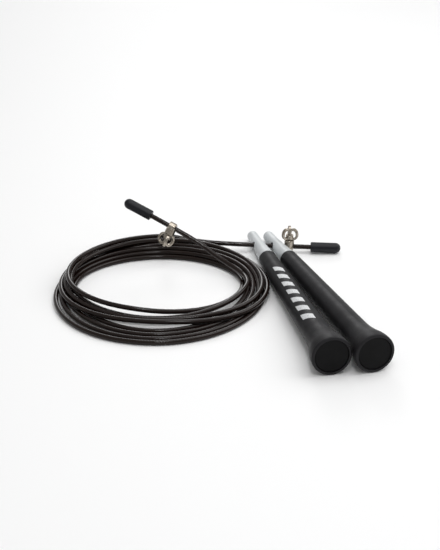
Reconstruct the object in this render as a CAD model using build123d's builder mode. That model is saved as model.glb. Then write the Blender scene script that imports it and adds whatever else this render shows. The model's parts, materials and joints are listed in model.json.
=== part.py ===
from build123d import *
import math
import os

# Speed jump rope, laid out on a table: two tapered handles side by side with their
# butts towards -Y, and the coated steel cable coiled to their left.
# Millimetres. +Z is up, the table is Z = 0, and the origin is under the middle of the
# pair of handles. Along a handle, s runs from the butt (0) to the tip of its head.

# ---------------------------------------------------------------- driving dimensions
cable_d = 2.8
cable_r = cable_d / 2
running_gap = 0.05  # radial clearance of a collar on the cable

# handle, along its axis
grip_len = 127.0
handle_len = 165.0
butt_r = 10.6
flare_end_s = 26.0
flare_end_r = 7.3
rim_r = 5.15
rim_round = 0.5
butt_round = 1.0
butt_land_s = 2.4  # the butt keeps its full radius up to here
swivel_s = 147.0  # the cable's cross hole
handle_yaw = 2.2  # each handle turns its tip towards the other's, degrees
butt_x = 10.85  # half the distance between the butts
hole_y = 66.19  # the left handle's cross hole

# inside the grip
bearing_od, bearing_bore, bearing_w = 7.0, 3.0, 3.0
front_bearing_s = 121.8
rear_bearing_s = 108.8
ball_r = 0.55
ball_count = 7
ball_gap = 0.02
cage_w, cage_back, cage_web = 1.35, 1.0, 0.4
head_gap = 0.35  # between the turning grip and the head

# butt plug
plug_r, plug_recess, plug_face = 9.0, 0.5, 2.5
skirt_r, skirt_end_s, skirt_wall = 7.4, 9.0, 1.2
fit_gap = 0.02  # between pieces pressed into each other

# swivel head
head_base_r = 4.85
head_tip_r = 3.3
tip_corner_len, tip_corner_r = 2.8, 2.3  # the tip is rounded, with a small flat end
nose_r = 2.0
throat_r = 2.0
throat_round = 8.0  # the cross hole opens along this radius towards both mouths
screw_r = bearing_bore / 2 - fit_gap
screw_end_s = 138.8

# cable line through both heads
cable_yaw = -16.5
cable_pitch = 1.4  # it sinks towards the handle-side end cap
handle_clamp_at = 7.25  # along the cable from the right head's hole
handle_cap_at = 20.2
cap_len, cap_r, cap_depth = 17.9, 3.05, 12.5

# cable clamps: a sleeve with a threaded boss, and a thumbscrew with three loops
sleeve_r, sleeve_len = 2.7, 4.4
boss_r, boss_top = 2.9, 4.7
clamp_screw_r = 1.25
loop_foot, loop_top, loop_reach = 4.9, 12.3, 5.5
loop_wall, loop_thick = 1.45, 1.8
loop_overlap = 0.5  # each loop runs this far past the thumbscrew's axis

# coil of spare cable
coil_x, coil_y = -73.2, 28.4
coil_r = 60.0
coil_h = 8.0
coil_hole = (46.0, 35.0)
coil_hole_shift = (0.0, 5.0)
coil_turn = -14.9

# free tail of the cable: it lifts off the coil and ends in a straight stretch
tail_clamp_pos = Vector(-57.98, 67.36, 22.1)
tail_rise, tail_plan = 21.0, 144.1
tail_clamp_drop = 72.0  # the thumbscrew hangs this far below the horizontal
tail_cap_at = 14.3
tail_straight_back = 16.0  # straight stretch of the tail before its clamp

# ---------------------------------------------------------------- derived geometry
butt_contact_s = butt_land_s
rim_contact_s = grip_len - rim_round
tilt = math.degrees(math.atan((butt_r - rim_r) / (rim_contact_s - butt_contact_s)))
tilt_cos, tilt_sin = math.cos(math.radians(tilt)), math.sin(math.radians(tilt))
butt_z = butt_r * tilt_cos + butt_contact_s * tilt_sin
cable_z = butt_z - swivel_s * tilt_sin
hole_x = butt_x - swivel_s * tilt_cos * math.sin(math.radians(handle_yaw))
cable_dir = Vector(1, 0, 0).rotate(Axis.Y, cable_pitch).rotate(Axis.Z, cable_yaw)
left_hole = Vector(-hole_x, hole_y, cable_z)
right_hole = Vector(hole_x, hole_y + 2 * hole_x * math.tan(math.radians(cable_yaw)), cable_z)
between_holes = (left_hole + right_hole) / 2  # the sinking cable crosses the level here
cable_at_left = between_holes - cable_dir * (right_hole - left_hole).length / 2
cable_at_right = between_holes + cable_dir * (right_hole - left_hole).length / 2

os.makedirs("parts", exist_ok=True)


def save(piece, node):
    piece.part.label = node
    export_step(piece.part, f"parts/{node}.step")


# ---------------------------------------------------------------- handle pieces
# Every turned piece is a profile in the handle's own plane, whose X is the handle's
# axis and whose Y is the radius, revolved about that axis.


def head_profile(nose_s, base_s):
    """Half section of the swivel head: nose, flank and rounded tip."""
    corner_s = handle_len - tip_corner_len
    with BuildLine() as outline:
        Polyline((nose_s, 0), (nose_s, nose_r), (base_s, nose_r), (base_s, head_base_r - 0.3))
        Line((base_s, head_base_r - 0.3), (base_s + 0.3, head_base_r))
        Spline(
            (base_s + 0.3, head_base_r),
            (134.0, 4.45),
            (140.0, 4.07),
            (swivel_s, 3.68),
            (corner_s, head_tip_r),
            tangents=((1, -0.05), (1, -0.02)),
        )
        corner = (corner_s, head_tip_r - tip_corner_r)
        EllipticalCenterArc(corner, tip_corner_len, tip_corner_r, start_angle=0, arc_size=90)
        Polyline((handle_len, head_tip_r - tip_corner_r), (handle_len, 0), (nose_s, 0))
    return outline


def grip_profile():
    """Half section of the hollow grip: flared butt, tapered body, bearing pockets."""
    bore_r = bearing_od / 2
    shoulder_r = bore_r - 0.45
    rear_end_s = rear_bearing_s - 4.3
    with BuildLine() as outline:
        Polyline(
            (grip_len, bore_r),
            (grip_len, rim_r - rim_round),
            (rim_contact_s, rim_r),
            (flare_end_s, flare_end_r),
        )
        Spline(
            (flare_end_s, flare_end_r),
            (18.0, 7.85),
            (10.0, 9.3),
            (butt_land_s, butt_r),
            tangents=((-1, 0.023), (-1, 0.04)),
        )
        Line((butt_land_s, butt_r), (butt_round, butt_r))
        JernArc((butt_round, butt_r), (-1, 0), butt_round, 90)
        Polyline(
            (0, butt_r - butt_round),
            (0, plug_r + fit_gap),
            (plug_face, plug_r + fit_gap),
            (plug_face, skirt_r + fit_gap),
            (skirt_end_s + 0.5, skirt_r + fit_gap),
            (flare_end_s - 2, 5.5),
            (rear_end_s - 4, 3.9),
            (rear_end_s, bore_r),
            (rear_bearing_s + bearing_w, bore_r),
            (rear_bearing_s + bearing_w, shoulder_r),
            (front_bearing_s, shoulder_r),
            (front_bearing_s, bore_r),
            (grip_len, bore_r),
        )
    return outline


def ring_section(start_s, inner_r, outer_r, pitch_r):
    """Section of a bearing ring, with its groove for the balls on the pitch circle."""
    corners = [
        (start_s, inner_r),
        (start_s + bearing_w, inner_r),
        (start_s + bearing_w, outer_r),
        (start_s, outer_r),
    ]
    Polygon(*corners, align=None)
    with Locations((start_s + bearing_w / 2, pitch_r)):
        Circle(ball_r + ball_gap, mode=Mode.SUBTRACT)


def turned(section, axis, corners):
    """A solid of revolution from a closed polygon of (s, radius) corners."""
    with BuildPart() as piece:
        with BuildSketch(section):
            Polygon(*corners, align=None)
        revolve(axis=axis)
    return piece


def make_handle(side, hole, yaw):
    """All the pieces of one handle, with its cross hole centred on hole."""
    axis_dir = Vector(0, tilt_cos, -tilt_sin).rotate(Axis.Z, yaw)
    butt = hole - axis_dir * swivel_s
    section = Plane(origin=butt, x_dir=axis_dir, z_dir=Vector(1, 0, 0).rotate(Axis.Z, yaw))
    axis = Axis(butt, axis_dir)
    pitch_r = (bearing_od + bearing_bore) / 4
    inner_land, outer_land = pitch_r - 0.45, pitch_r + 0.45
    bearing_starts = {"front": front_bearing_s, "rear": rear_bearing_s}

    with BuildPart() as grip:
        with BuildSketch(section):
            with BuildLine():
                add(grip_profile().line)
            make_face()
        revolve(axis=axis)
    save(grip, f"{side}_grip")

    plug_corners = [
        (plug_recess, 0),
        (plug_recess, plug_r - 0.4),
        (plug_recess + 0.4, plug_r),
        (plug_face, plug_r),
        (plug_face, skirt_r),
        (skirt_end_s, skirt_r),
        (skirt_end_s, skirt_r - skirt_wall),
        (plug_face, skirt_r - skirt_wall),
        (plug_face, 0),
    ]
    save(turned(section, axis, plug_corners), f"{side}_butt_plug")

    nose_s = front_bearing_s + bearing_w
    with BuildPart() as head:
        with BuildSketch(section):
            with BuildLine():
                add(head_profile(nose_s, grip_len + head_gap).line)
            make_face()
        revolve(axis=axis)
        # the cross hole: a bell mouth each side, square to the handle and level
        across = Plane(origin=hole, x_dir=section.z_dir, z_dir=section.y_dir)
        reach = head_base_r + 1
        mouth_r = throat_r + throat_round - math.sqrt(throat_round**2 - reach**2)
        with BuildSketch(across):
            with BuildLine():
                Line((-reach, 0), (-reach, mouth_r))
                ThreePointArc((-reach, mouth_r), (0, throat_r), (reach, mouth_r))
                Polyline((reach, mouth_r), (reach, 0), (-reach, 0))
            make_face()
        revolve(axis=Axis(hole, section.z_dir), mode=Mode.SUBTRACT)
        with BuildSketch(section):
            screw_hole_r = screw_r + fit_gap
            hole_end_s = screw_end_s + 0.3
            Polygon(
                (nose_s, 0),
                (nose_s, screw_hole_r),
                (hole_end_s, screw_hole_r),
                (hole_end_s, 0),
                align=None,
            )
        revolve(axis=axis, mode=Mode.SUBTRACT)
    save(head, f"{side}_swivel_head")

    screw_seat_s = rear_bearing_s - 0.5
    screw_head_s = screw_seat_s - 2.3
    with BuildPart() as screw:
        with BuildSketch(section):
            Polygon(
                (screw_head_s, 0),
                (screw_head_s, 2.3),
                (screw_head_s + 0.3, 2.6),
                (screw_seat_s, 2.6),
                (screw_seat_s, screw_r),
                (screw_end_s - 0.4, screw_r),
                (screw_end_s, screw_r - 0.4),
                (screw_end_s, 0),
                align=None,
            )
        revolve(axis=axis)
        with BuildSketch(Plane(origin=butt + axis_dir * screw_head_s, z_dir=axis_dir)):
            RegularPolygon(1.15, 6)
        extrude(amount=1.3, mode=Mode.SUBTRACT)
    save(screw, f"{side}_spindle_screw")

    washer_corners = [
        (screw_seat_s, screw_r + fit_gap),
        (rear_bearing_s, screw_r + fit_gap),
        (rear_bearing_s, 2.55),
        (screw_seat_s, 2.55),
    ]
    save(turned(section, axis, washer_corners), f"{side}_thrust_washer")

    spacer_corners = [
        (rear_bearing_s + bearing_w, screw_r + fit_gap),
        (front_bearing_s, screw_r + fit_gap),
        (front_bearing_s, inner_land),
        (rear_bearing_s + bearing_w, inner_land),
    ]
    save(turned(section, axis, spacer_corners), f"{side}_bearing_spacer")

    for place, start_s in bearing_starts.items():
        with BuildPart() as outer_ring:
            with BuildSketch(section):
                ring_section(start_s, outer_land, bearing_od / 2 - fit_gap / 2, pitch_r)
            revolve(axis=axis)
        save(outer_ring, f"{side}_{place}_bearing_outer_ring")
        with BuildPart() as inner_ring:
            with BuildSketch(section):
                ring_section(start_s, bearing_bore / 2, inner_land, pitch_r)
            revolve(axis=axis)
        save(inner_ring, f"{side}_{place}_bearing_inner_ring")

    ball_planes = [
        Plane(origin=butt + axis_dir * (start_s + bearing_w / 2), z_dir=axis_dir)
        for start_s in bearing_starts.values()
    ]
    with BuildPart(*ball_planes) as balls:
        with PolarLocations(pitch_r, ball_count):
            Sphere(ball_r)
    save(balls, f"{side}_bearing_balls")

    with BuildPart() as cages:
        with BuildSketch(*[plane.offset(-cage_back) for plane in ball_planes]):
            Circle(pitch_r + 0.3)
            Circle(pitch_r - 0.3, mode=Mode.SUBTRACT)
        extrude(amount=cage_w)
        with BuildSketch(*[plane.offset(cage_web - cage_back) for plane in ball_planes]):
            with PolarLocations(pitch_r, ball_count):
                Circle(ball_r + ball_gap)
        extrude(amount=cage_w, mode=Mode.SUBTRACT)
    save(cages, f"{side}_bearing_cages")
    return butt, axis_dir


# ---------------------------------------------------------------- pieces on the cable


def make_clamp(node, centre, along, screw_axis, loop_turn):
    """A cable clamp: its sleeve runs along the cable and its thumbscrew along screw_axis."""
    seat = Plane(origin=centre, x_dir=along, z_dir=screw_axis)
    sleeve_plane = Plane(origin=centre, x_dir=screw_axis, z_dir=along)

    with BuildPart() as collar:
        with BuildSketch(sleeve_plane):
            Circle(sleeve_r)
        extrude(amount=sleeve_len / 2, both=True)
        chamfer(collar.edges().filter_by(GeomType.CIRCLE), 0.35)
        with BuildSketch(seat):
            Circle(boss_r)
        extrude(amount=boss_top)
        top = collar.edges().filter_by(GeomType.CIRCLE).sort_by(seat_height(seat))[-1]
        fillet(top, 0.4)
        with BuildSketch(sleeve_plane):
            Circle(cable_r + running_gap)
        extrude(amount=boss_top, both=True, mode=Mode.SUBTRACT)
        with BuildSketch(seat):
            Circle(clamp_screw_r + running_gap)
        extrude(amount=boss_top + 1, mode=Mode.SUBTRACT)
    save(collar, f"{node}_collar")

    screw_foot = cable_r + fit_gap
    screw_top = loop_foot + 2.2
    with BuildPart() as screw:
        with BuildSketch(seat.offset(screw_foot)):
            Circle(clamp_screw_r)
        extrude(amount=screw_top - screw_foot)
        chamfer(screw.edges().filter_by(GeomType.CIRCLE), 0.25)
    save(screw, f"{node}_screw")

    loop_mid = (loop_foot + loop_top) / 2
    half_height = (loop_top - loop_foot) / 2
    half_width = (loop_reach + loop_overlap) / 2
    with BuildPart() as loops:
        with BuildSketch(seat.offset(loop_foot)):
            Circle(2.3)
        extrude(amount=3.0)
        fillet(loops.edges().filter_by(GeomType.CIRCLE), 0.5)
        for turn in (0, 120, 240):
            outward = Vector(1, 0, 0).rotate(Axis.Z, loop_turn + turn)
            radial = seat.from_local_coords(outward) - seat.origin
            wing_plane = Plane(origin=centre, x_dir=radial, z_dir=radial.cross(screw_axis))
            with BuildPart(mode=Mode.PRIVATE) as wing:
                with BuildSketch(wing_plane):
                    with Locations((half_width - loop_overlap, loop_mid)):
                        Ellipse(half_width, half_height)
                        Ellipse(half_width - loop_wall, half_height - loop_wall, mode=Mode.SUBTRACT)
                extrude(amount=loop_thick / 2, both=True)
                fillet(wing.edges(), 0.4)
            add(wing.part)
        with BuildSketch(seat.offset(loop_foot)):
            Circle(clamp_screw_r + running_gap)
        extrude(amount=screw_top - loop_foot + 0.1, mode=Mode.SUBTRACT)
    save(loops, f"{node}_thumb_loops")


def seat_height(seat):
    """Sort key: how far an edge's middle stands above a clamp's seat plane."""
    return lambda edge: seat.to_local_coords(edge.center()).Z


def make_end_cap(node, mouth, along):
    """A moulded cap over the cable's end: a plain tube closed by a dome."""
    section = Plane(origin=mouth, x_dir=along, z_dir=along.cross(Vector(0, 0, 1)))
    bore_r = cable_r + fit_gap
    with BuildPart() as cap:
        with BuildSketch(section):
            with BuildLine():
                Polyline(
                    (cap_depth, 0),
                    (cap_depth, bore_r),
                    (0, bore_r),
                    (0, cap_r - 0.3),
                    (0.3, cap_r),
                    (cap_len - cap_r, cap_r),
                )
                CenterArc((cap_len - cap_r, 0), cap_r, 0, 90)
                Line((cap_len, 0), (cap_depth, 0))
            make_face()
        revolve(axis=Axis(mouth, along))
    save(cap, node)


def make_tube(node, points):
    """A stretch of cable: straight runs joined by arcs as large as the runs allow."""
    radii = []
    for before, corner, after in zip(points, points[1:], points[2:]):
        turn = math.radians((corner - before).get_angle(after - corner))
        shorter = min((corner - before).length, (after - corner).length)
        radii.append(0.45 * shorter / math.tan(turn / 2))
    start = points[0]
    with BuildPart() as tube:
        with BuildLine() as path:
            FilletPolyline(*points, radius=radii)
        with BuildSketch(Plane(origin=start, z_dir=points[1] - start)):
            Circle(cable_r)
        sweep(path=path.wires()[0])
    save(tube, node)
    length = path.wires()[0].length
    share = tube.part.volume / (math.pi * cable_r**2 * length)
    print(node, "length", round(length, 1), "volume share", round(share, 4))
    print(node, "radii", [round(r, 1) for r in radii])


# ---------------------------------------------------------------- build the handles
left_butt, left_axis = make_handle("left", left_hole, -handle_yaw)
right_butt, right_axis = make_handle("right", right_hole, handle_yaw)

# ---------------------------------------------------------------- build the cable
handle_clamp_pos = cable_at_right + cable_dir * handle_clamp_at
handle_cap_pos = cable_at_right + cable_dir * handle_cap_at
handle_end = handle_cap_pos + cable_dir * (cap_depth - 0.1)
bend_point = cable_at_left - cable_dir * 16.5
coil_entry = bend_point - cable_dir * 24.0 + Vector(0, 0, 1.6)
make_tube("cable_handle_run", [handle_end, bend_point, coil_entry])

tail_dir = Vector(1, 0, 0).rotate(Axis.Y, -tail_rise).rotate(Axis.Z, tail_plan)
tail_level = tail_dir.cross(Vector(0, 0, 1)).normalized()
tail_down = tail_level.cross(tail_dir).normalized()
if tail_level.Y > 0:
    tail_level = -tail_level
if tail_down.Z > 0:
    tail_down = -tail_down
drop = math.radians(tail_clamp_drop)
tail_screw_axis = tail_level * math.cos(drop) + tail_down * math.sin(drop)
tail_cap_pos = tail_clamp_pos + tail_dir * tail_cap_at
tail_end = tail_cap_pos + tail_dir * (cap_depth - 0.1)
tail_bend = tail_clamp_pos - tail_dir * tail_straight_back
make_tube(
    "cable_tail",
    [Vector(-25.0, 31.5, 5.0), Vector(-37.5, 50.3, 9.5), tail_bend, tail_end],
)

coil_plane = Plane(origin=(coil_x, coil_y, 0), x_dir=Vector(1, 0, 0).rotate(Axis.Z, coil_turn))
with BuildPart() as coil:
    with BuildSketch(coil_plane):
        Circle(coil_r)
        with Locations(coil_hole_shift):
            Ellipse(*coil_hole, mode=Mode.SUBTRACT)
    extrude(amount=coil_h)
    fillet(coil.edges().group_by(Axis.Z)[-1], 3.0)
    fillet(coil.edges().group_by(Axis.Z)[0], 1.2)
save(coil, "cable_coil")

handle_screw_axis = cable_dir.cross(Vector(0, 0, 1)).cross(cable_dir).normalized()
make_clamp("handle_clamp", handle_clamp_pos, cable_dir, handle_screw_axis, -26.0)
make_clamp("tail_clamp", tail_clamp_pos, tail_dir, tail_screw_axis, 15.0)
make_end_cap("handle_end_cap", handle_cap_pos, cable_dir)
make_end_cap("tail_end_cap", tail_cap_pos, tail_dir)

for name, value in (
    ("tilt", tilt),
    ("left hole", left_hole),
    ("right hole", right_hole),
    ("cable at left hole", cable_at_left),
    ("cable at right hole", cable_at_right),
    ("cable direction", cable_dir),
    ("left butt", left_butt),
    ("left axis", left_axis),
    ("right butt", right_butt),
    ("right axis", right_axis),
    ("handle clamp", handle_clamp_pos),
    ("handle screw axis", handle_screw_axis),
    ("handle cap", handle_cap_pos),
    ("handle end", handle_end),
    ("bend point", bend_point),
    ("coil entry", coil_entry),
    ("tail direction", tail_dir),
    ("tail screw axis", tail_screw_axis),
    ("tail cap", tail_cap_pos),
    ("tail end", tail_end),
):
    print(name, value)
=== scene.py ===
import json
import math

import bmesh
import bpy
from mathutils import Matrix, Vector


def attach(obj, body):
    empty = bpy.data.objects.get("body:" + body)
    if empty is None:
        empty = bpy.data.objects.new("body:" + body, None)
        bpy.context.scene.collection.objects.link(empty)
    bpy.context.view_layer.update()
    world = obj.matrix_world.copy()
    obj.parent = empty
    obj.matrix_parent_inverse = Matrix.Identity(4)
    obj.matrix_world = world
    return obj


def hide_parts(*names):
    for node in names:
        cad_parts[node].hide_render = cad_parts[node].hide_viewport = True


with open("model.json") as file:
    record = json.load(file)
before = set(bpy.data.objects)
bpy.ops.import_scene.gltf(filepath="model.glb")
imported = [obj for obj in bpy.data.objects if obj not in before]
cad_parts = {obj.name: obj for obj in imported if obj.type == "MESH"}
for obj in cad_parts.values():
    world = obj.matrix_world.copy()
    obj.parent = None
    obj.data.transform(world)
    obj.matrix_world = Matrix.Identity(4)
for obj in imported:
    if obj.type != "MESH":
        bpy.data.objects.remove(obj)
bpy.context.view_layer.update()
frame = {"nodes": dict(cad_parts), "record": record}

# Looks of a speed jump rope, in metres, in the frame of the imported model: +Z is up, the
# table is Z = 0, and the handles lie side by side with their butts towards -Y.

# ---------------------------------------------------------------- camera
view_azimuth = 14.9  # degrees from +Y towards +X
view_elevation = 26.5
view_distance = 0.724
view_lens = 81.7
sensor_width = 36.0
nearest_seen = 0.01
aim = Vector((-0.0358, 0.0421, 0.0))


def make_camera():
    level = math.cos(math.radians(view_elevation))
    looks = Vector((
        level * math.sin(math.radians(view_azimuth)),
        level * math.cos(math.radians(view_azimuth)),
        -math.sin(math.radians(view_elevation)),
    ))
    data = bpy.data.cameras.new("camera")
    data.lens = view_lens
    data.sensor_width = sensor_width
    data.clip_start = nearest_seen
    camera = bpy.data.objects.new("camera", data)
    camera.location = aim - looks * view_distance
    camera.rotation_euler = looks.to_track_quat("-Z", "Y").to_euler()
    bpy.context.scene.collection.objects.link(camera)
    bpy.context.scene.camera = camera


# ---------------------------------------------------------------- cable
cable_d = 0.0028

# The route's points where the cable isn't coiled, as the CAD part has them.
handle_run = [
    (0.036459, 0.053846, 0.003316),
    (-0.021027, 0.070874, 0.004782),
    (-0.044032, 0.077689, 0.006968),
]
tail_run = [
    (-0.025000, 0.031500, 0.005000),
    (-0.037500, 0.050300, 0.009500),
    (-0.045880, 0.058601, 0.016366),
    (-0.078172, 0.081976, 0.031668),
]

coil_centre = Vector((-0.0732, 0.0284, 0.0))
coil_turned = math.radians(-14.9)  # the coil's own X against the frame's
coil_outer = 0.0593  # radius of the outermost turn's centreline
hole_centre = (-0.0011, 0.0073)  # the coil's hole is an ellipse, off the coil's centre
hole_half = (0.04815, 0.0371)
coil_starts = 86.0  # degrees, where the cable joins the coil, at its back
coil_turns = 7.76
stations = 72  # per turn, where the turns' heights are worked out
rests_on_top = 40  # stations of the first turn that lie over the others
bridge = 5  # stations that the stiff cable spans level, each way
stations_per_point = 2  # of the curve

steepness = (0.35, 0.8)  # of the lay's change at the back and front, and at the sides
# How far out each turn lies, from the hole (0) to the outside (1), at the back, the left,
# the front and the right of the coil. Most turns cross the others at the left and the
# right: those that are outermost at the back are innermost at the front.
turn_lay = [
    (0.86, 0.42, 0.00, -0.12),
    (0.00, 0.05, 0.58, 0.12),
    (0.16, 0.36, 0.72, 0.36),
    (0.32, 0.68, 0.87, 0.62),
    (0.50, 1.00, 1.00, 0.88),
    (1.00, 0.80, 0.39, 1.00),
    (0.82, 0.54, 0.22, 0.76),
    (0.66, 0.26, 0.10, 0.12),
]


def lay_at(turn):
    """How far out the cable lies after that many turns: steepest at the two crossings."""
    sides = [side for row in turn_lay for side in row]
    last = len(sides) - 1
    place = min(turn * 4, last)
    step = int(place)
    share = place - step

    def side(k):
        return sides[min(max(k, 0), last)]

    def slope(k):
        return steepness[k % 2] * (side(k + 1) - side(k - 1))

    start, end = side(step), side(step + 1)
    rise = end - start
    bend = slope(step) + slope(step + 1) - 2 * rise
    return start + share * (slope(step) + share * (rise - slope(step) - bend + share * bend))


def plan_place(turn):
    """The cable's place in plan, in the coil's own axes, after that many turns."""
    angle = math.radians(coil_starts) + math.tau * turn
    inner = Vector((
        hole_centre[0] + hole_half[0] * math.cos(angle),
        hole_centre[1] + hole_half[1] * math.sin(angle),
    ))
    outer = Vector((math.cos(angle), math.sin(angle))) * coil_outer
    return inner.lerp(outer, lay_at(turn))


def bridged(heights):
    """A stiff cable bridges dips: the highest of the near stations, then their mean."""
    def near(values, i):
        return values[max(0, i - bridge):i + bridge + 1]

    highest = [max(near(heights, i)) for i in range(len(heights))]
    return [sum(near(highest, i)) / len(near(highest, i)) for i in range(len(heights))]


def resting_heights(plan):
    """Each turn rests on the table and on the turns laid before it."""
    count = len(plan)
    order = [*range(rests_on_top, count), *range(rests_on_top)]
    heights = [cable_d / 2] * count
    for settling in range(int(coil_turns) + 2):
        rests = [cable_d / 2] * count
        laid = {}
        for i in order:
            below = laid.setdefault(i % stations, [])
            for j in below:
                gap = (plan[i] - plan[j]).length
                if gap < cable_d:
                    rests[i] = max(rests[i], heights[j] + math.sqrt(cable_d**2 - gap**2))
            below.append(i)
        heights = bridged(rests)
    return heights


def coil_points():
    count = int(coil_turns * stations) + 1
    plan = [plan_place(i / stations) for i in range(count)]
    heights = resting_heights(plan)
    turned = Matrix.Rotation(coil_turned, 3, "Z")
    return [
        coil_centre + turned @ Vector((plan[i].x, plan[i].y, heights[i]))
        for i in range(0, count, stations_per_point)
    ]


def make_cable():
    points = [Vector(p) for p in handle_run] + coil_points() + [Vector(p) for p in tail_run]
    data = bpy.data.curves.new("cable", "CURVE")
    data.dimensions = "3D"
    spline = data.splines.new("NURBS")
    spline.points.add(len(points) - 1)
    for made, point in zip(spline.points, points):
        made.co = (*point, 1.0)
        made.radius = cable_d / 2
    spline.order_u = 3
    spline.use_endpoint_u = True
    data.resolution_u = 5
    data.bevel_depth = 1.0  # times each point's radius
    data.bevel_resolution = 6
    data.use_fill_caps = True
    cable = bpy.data.objects.new("cable", data)
    bpy.context.scene.collection.objects.link(cable)
    return cable


make_camera()
cable = make_cable()
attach(cable, "cable")
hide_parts("cable_coil", "cable_handle_run", "cable_tail")


# ---------------------------------------------------------------- material helpers
def new_material(name, color, roughness, metallic=0.0):
    made = bpy.data.materials.new(name)
    made.use_nodes = True
    shader = made.node_tree.nodes["Principled BSDF"]
    shader.inputs["Base Color"].default_value = (*color, 1.0)
    shader.inputs["Roughness"].default_value = roughness
    shader.inputs["Metallic"].default_value = metallic
    return made, made.node_tree, shader


def grain(tree, scale, detail, stretch=(1, 1, 1)):
    """Noise in the piece's own space; stretch squeezes it along an axis."""
    source = tree.nodes.new("ShaderNodeTexCoord")
    mapping = tree.nodes.new("ShaderNodeMapping")
    mapping.inputs["Scale"].default_value = stretch
    noise = tree.nodes.new("ShaderNodeTexNoise")
    noise.inputs["Scale"].default_value = scale
    noise.inputs["Detail"].default_value = detail
    tree.links.new(source.outputs["Object"], mapping.inputs["Vector"])
    tree.links.new(mapping.outputs["Vector"], noise.inputs["Vector"])
    return noise.outputs["Fac"]


def spread(tree, value, low, high, from_low=0.3, from_high=0.7):
    """value, from about 0.3 to 0.7 in a noise, spread over low to high."""
    made = tree.nodes.new("ShaderNodeMapRange")
    made.inputs["From Min"].default_value = from_low
    made.inputs["From Max"].default_value = from_high
    made.inputs["To Min"].default_value = low
    made.inputs["To Max"].default_value = high
    tree.links.new(value, made.inputs["Value"])
    return made.outputs["Result"]


def tint(tree, shader, value, dark, light):
    """Colours the shader between dark and light by value, from 0 to 1."""
    made = tree.nodes.new("ShaderNodeMix")
    made.data_type = "RGBA"
    made.inputs["A"].default_value = (*dark, 1.0)
    made.inputs["B"].default_value = (*light, 1.0)
    tree.links.new(value, made.inputs["Factor"])
    tree.links.new(made.outputs["Result"], shader.inputs["Base Color"])


def bump(tree, shader, value, height):
    """Raises the surface by value times height, in metres."""
    made = tree.nodes.new("ShaderNodeBump")
    made.inputs["Strength"].default_value = 1.0
    made.inputs["Distance"].default_value = height
    tree.links.new(value, made.inputs["Height"])
    tree.links.new(made.outputs["Normal"], shader.inputs["Normal"])


# ---------------------------------------------------------------- materials
def moulded_plastic(name, dark, light, roughness, grain_height, shine):
    """Satin moulding with a fine spark-eroded grain and faint handling marks."""
    made, tree, shader = new_material(name, light, roughness)
    shader.inputs["Specular IOR Level"].default_value = shine
    marks = spread(tree, grain(tree, 90, 4), 0, 1)
    tint(tree, shader, marks, dark, light)
    rough = spread(tree, grain(tree, 160, 5), roughness - 0.05, roughness + 0.06)
    tree.links.new(rough, shader.inputs["Roughness"])
    bump(tree, shader, grain(tree, 2600, 2), grain_height)
    return made


def pale_head():
    """Pale silver-grey head, semi-matt, with a very fine satin grain."""
    made, tree, shader = new_material("head_grey", (0.55, 0.57, 0.58), 0.36)
    tint(tree, shader, spread(tree, grain(tree, 120, 4), 0, 1), (0.52, 0.545, 0.555),
         (0.60, 0.62, 0.63))
    tree.links.new(spread(tree, grain(tree, 240, 4), 0.32, 0.42), shader.inputs["Roughness"])
    bump(tree, shader, grain(tree, 4200, 2), 0.00001)
    return made


wires = 12  # in the cable's outer layer
twists = 160  # of the wires, over the whole cable


def cable_jacket():
    """Glossy dark jacket through which the twist of the steel wires just shows."""
    made, tree, shader = new_material("cable_jacket", (0.008, 0.004, 0.003), 0.1)
    shader.inputs["Specular IOR Level"].default_value = 0.27
    source = tree.nodes.new("ShaderNodeTexCoord")
    apart = tree.nodes.new("ShaderNodeSeparateXYZ")
    tree.links.new(source.outputs["UV"], apart.inputs["Vector"])
    along = tree.nodes.new("ShaderNodeMath")
    along.operation = "MULTIPLY"
    along.inputs[1].default_value = math.tau * twists * wires
    tree.links.new(apart.outputs["X"], along.inputs[0])
    around = tree.nodes.new("ShaderNodeMath")
    around.operation = "MULTIPLY_ADD"
    around.inputs[1].default_value = math.tau * wires
    tree.links.new(apart.outputs["Y"], around.inputs[0])
    tree.links.new(along.outputs["Value"], around.inputs[2])
    wave = tree.nodes.new("ShaderNodeMath")
    wave.operation = "SINE"
    tree.links.new(around.outputs["Value"], wave.inputs[0])
    share = spread(tree, wave.outputs["Value"], 0, 1, -1, 1)
    tint(tree, shader, share, (0.002, 0.0009, 0.0006), (0.017, 0.0078, 0.005))
    tree.links.new(spread(tree, grain(tree, 60, 4), 0.06, 0.13), shader.inputs["Roughness"])
    bump(tree, shader, share, 0.000012)
    return made


def plated_nickel():
    """Nickel plate, warm and a little dull, with fine polishing haze."""
    made, tree, shader = new_material("clamp_nickel", (0.36, 0.32, 0.27), 0.22, 1.0)
    tint(tree, shader, spread(tree, grain(tree, 400, 4), 0, 1), (0.24, 0.205, 0.165),
         (0.48, 0.435, 0.375))
    tree.links.new(spread(tree, grain(tree, 900, 5), 0.14, 0.32), shader.inputs["Roughness"])
    bump(tree, shader, grain(tree, 1500, 3), 0.00002)
    return made


def turned_steel(name, color, roughness):
    """Machined steel: fine rings across the handle's length."""
    made, tree, shader = new_material(name, color, roughness, 1.0)
    rings = grain(tree, 900, 2, stretch=(0.1, 6, 0.1))
    tree.links.new(spread(tree, rings, roughness - 0.06, roughness + 0.1),
                   shader.inputs["Roughness"])
    bump(tree, shader, rings, 0.000004)
    return made


def natural_nylon():
    """Off-white, matt nylon of the bearing cages."""
    made, tree, shader = new_material("cage_nylon", (0.75, 0.72, 0.62), 0.5)
    tint(tree, shader, spread(tree, grain(tree, 300, 3), 0, 1), (0.70, 0.67, 0.56),
         (0.80, 0.77, 0.68))
    bump(tree, shader, grain(tree, 3000, 2), 0.00001)
    return made


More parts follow.
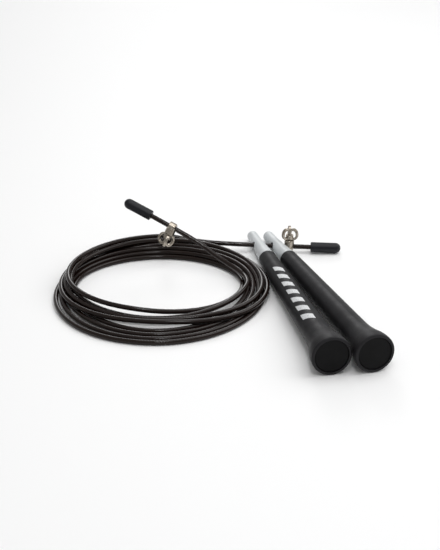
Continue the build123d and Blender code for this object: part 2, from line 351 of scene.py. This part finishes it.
def printed_ink():
    """Pale grey screen print, slightly worn."""
    made, tree, shader = new_material("print_grey", (0.60, 0.61, 0.62), 0.5)
    tint(tree, shader, spread(tree, grain(tree, 1800, 4), 0, 1, 0.35, 0.5),
         (0.45, 0.46, 0.47), (0.66, 0.67, 0.68))
    bump(tree, shader, grain(tree, 4000, 2), 0.000005)
    return made


materials = {
    "grip_black": moulded_plastic("grip_black", (0.0072, 0.0068, 0.0080), (0.0122, 0.0116, 0.0134),
                                  0.5, 0.00002, 0.24),
    "plug_black": moulded_plastic("plug_black", (0.002, 0.002, 0.0022), (0.004, 0.004, 0.0044),
                                  0.5, 0.000015, 0.12),
    "cap_black": moulded_plastic("cap_black", (0.003, 0.0035, 0.006), (0.006, 0.0065, 0.010),
                                 0.4, 0.00001, 0.3),
    "head_grey": pale_head(),
    "cable_jacket": cable_jacket(),
    "clamp_nickel": plated_nickel(),
    "plain_steel": turned_steel("plain_steel", (0.50, 0.51, 0.52), 0.35),
    "bearing_steel": turned_steel("bearing_steel", (0.62, 0.63, 0.64), 0.2),
    "cage_nylon": natural_nylon(),
}


def paint(piece, made):
    piece.data.materials.clear()
    piece.data.materials.append(made)


for row in frame["record"]["subparts"]:
    paint(frame["nodes"][row["node"]], materials[row["material_slot"]])
paint(cable, materials["cable_jacket"])

for node in frame["nodes"].values():
    for polygon in node.data.polygons:
        polygon.use_smooth = True


# ---------------------------------------------------------------- print on the left grip
bar_count = 7
bar_first_s, bar_last_s = 0.0345, 0.0985  # bar middles, along the handle from its butt
bar_share = 0.52  # of the distance between bars
bar_turn = 16.0  # degrees from the top of the grip towards -X, at the middle of the print
bar_drift = 14.0  # the row leans round the grip by this, from its last bar to its first
bar_arc = 50.0  # degrees of the grip that each bar spans
bar_slant = 0.0042  # along the handle, from one end of a bar to the other
ink_proud, ink_deep = 0.00004, 0.0001
plug_recess = 0.0005  # the butt's mount is on the plug's face, this far in
cells_along, cells_across = 3, 12  # of each bar's two faces
grip_taper = ((0.026, 0.0073), (0.1265, 0.00515))  # two radii of the grip's cone, at their s


def grip_frame():
    """The left grip's butt, its axis, and the directions of its top and its side."""
    mounts = {mount["name"]: mount for mount in frame["record"]["mounts"]}
    butt_face = mounts["left_butt_face"]
    axis = -Vector(butt_face["axis"]).normalized()
    butt = Vector(butt_face["pos_m"]) - axis * plug_recess
    side = Vector((0, 0, 1)).cross(axis).normalized()
    return butt, axis, axis.cross(side).normalized(), side


def make_print():
    """A row of plain slanted bars, each a thin closed patch on the grip's cone."""
    butt, axis, top, side = grip_frame()
    (start_s, start_r), (end_s, end_r) = grip_taper

    def on_grip(s, degrees, proud):
        radius = start_r + (end_r - start_r) * (s - start_s) / (end_s - start_s) + proud
        turn = math.radians(degrees)
        return butt + axis * s + (top * math.cos(turn) + side * math.sin(turn)) * radius

    mesh = bmesh.new()
    step = (bar_last_s - bar_first_s) / (bar_count - 1)
    for bar in range(bar_count):
        share = bar / (bar_count - 1)
        middle_s = bar_first_s + step * bar
        middle_turn = bar_turn + bar_drift * (0.5 - share)
        width = step * bar_share
        grids = []
        for proud in (ink_proud, -ink_deep):
            grid = []
            for across in range(cells_across + 1):
                v = across / cells_across - 0.5
                row = []
                for along in range(cells_along + 1):
                    u = along / cells_along - 0.5
                    s = middle_s + u * width + v * bar_slant
                    row.append(mesh.verts.new(on_grip(s, middle_turn + v * bar_arc, proud)))
                grid.append(row)
            grids.append(grid)
        for grid in grids:
            for low, high in zip(grid, grid[1:]):
                for k in range(cells_along):
                    mesh.faces.new((low[k], low[k + 1], high[k + 1], high[k]))
        outer, inner = grids
        edges = [
            [(row[0], other[0]) for row, other in zip(outer, inner)],
            [(row[-1], other[-1]) for row, other in zip(outer, inner)],
            list(zip(outer[0], inner[0])),
            list(zip(outer[-1], inner[-1])),
        ]
        for edge in edges:
            for (a, b), (c, d) in zip(edge, edge[1:]):
                mesh.faces.new((a, b, d, c))
    bmesh.ops.recalc_face_normals(mesh, faces=mesh.faces)
    data = bpy.data.meshes.new("grip_print")
    mesh.to_mesh(data)
    mesh.free()
    made = bpy.data.objects.new("grip_print", data)
    bpy.context.scene.collection.objects.link(made)
    paint(made, printed_ink())
    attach(made, "left_grip")


make_print()


# ---------------------------------------------------------------- stage
floor_half = 6.0
floor_paint = (0.92, 0.92, 0.92)
bright_side = (0.45, 0.30, 0.85)  # the studio's walls are palest this way
world_strengths = (0.42, 0.52)  # of the darkest and the palest walls
world_fades = (-0.2, 0.9)  # between these cosines of the angle from bright_side
lit_spot = Vector((-0.03, 0.03, 0.0))
softboxes = [  # name, place, size, power in watts
    ("softbox_right", (0.62, 0.02, 0.72), 0.8, 4.0),
    ("softbox_top", (0.10, 0.08, 1.05), 0.6, 2.2),
    ("softbox_front", (-0.18, -0.47, 0.91), 0.14, 1.5),
    ("softbox_back", (0.15, 0.95, 0.50), 0.3, 1.4),
]


def make_floor():
    mesh = bpy.data.meshes.new("floor")
    corners = [
        (x * floor_half, y * floor_half, 0) for x, y in ((-1, -1), (1, -1), (1, 1), (-1, 1))
    ]
    mesh.from_pydata(corners, [], [(0, 1, 2, 3)])
    floor = bpy.data.objects.new("floor", mesh)
    bpy.context.scene.collection.objects.link(floor)
    paint(floor, new_material("floor", floor_paint, 0.6)[0])


def make_world():
    """White studio walls, a little paler on one side."""
    world = bpy.data.worlds.new("studio")
    world.use_nodes = True
    tree = world.node_tree
    background = tree.nodes["Background"]
    background.inputs["Color"].default_value = (1.0, 1.0, 1.0, 1.0)
    source = tree.nodes.new("ShaderNodeTexCoord")
    towards = tree.nodes.new("ShaderNodeVectorMath")
    towards.operation = "DOT_PRODUCT"
    towards.inputs[1].default_value = Vector(bright_side).normalized()
    tree.links.new(source.outputs["Generated"], towards.inputs[0])
    strength = spread(tree, towards.outputs["Value"], *world_strengths, *world_fades)
    tree.links.new(strength, background.inputs["Strength"])
    bpy.context.scene.world = world


def make_softbox(name, place, size, power):
    data = bpy.data.lights.new(name, "AREA")
    data.shape = "SQUARE"
    data.size = size
    data.energy = power
    light = bpy.data.objects.new(name, data)
    light.location = place
    light.rotation_euler = (lit_spot - Vector(place)).to_track_quat("-Z", "Y").to_euler()
    bpy.context.scene.collection.objects.link(light)


make_floor()
make_world()
for softbox in softboxes:
    make_softbox(*softbox)
bpy.context.scene.view_settings.view_transform = "Standard"


bpy.context.view_layer.update()
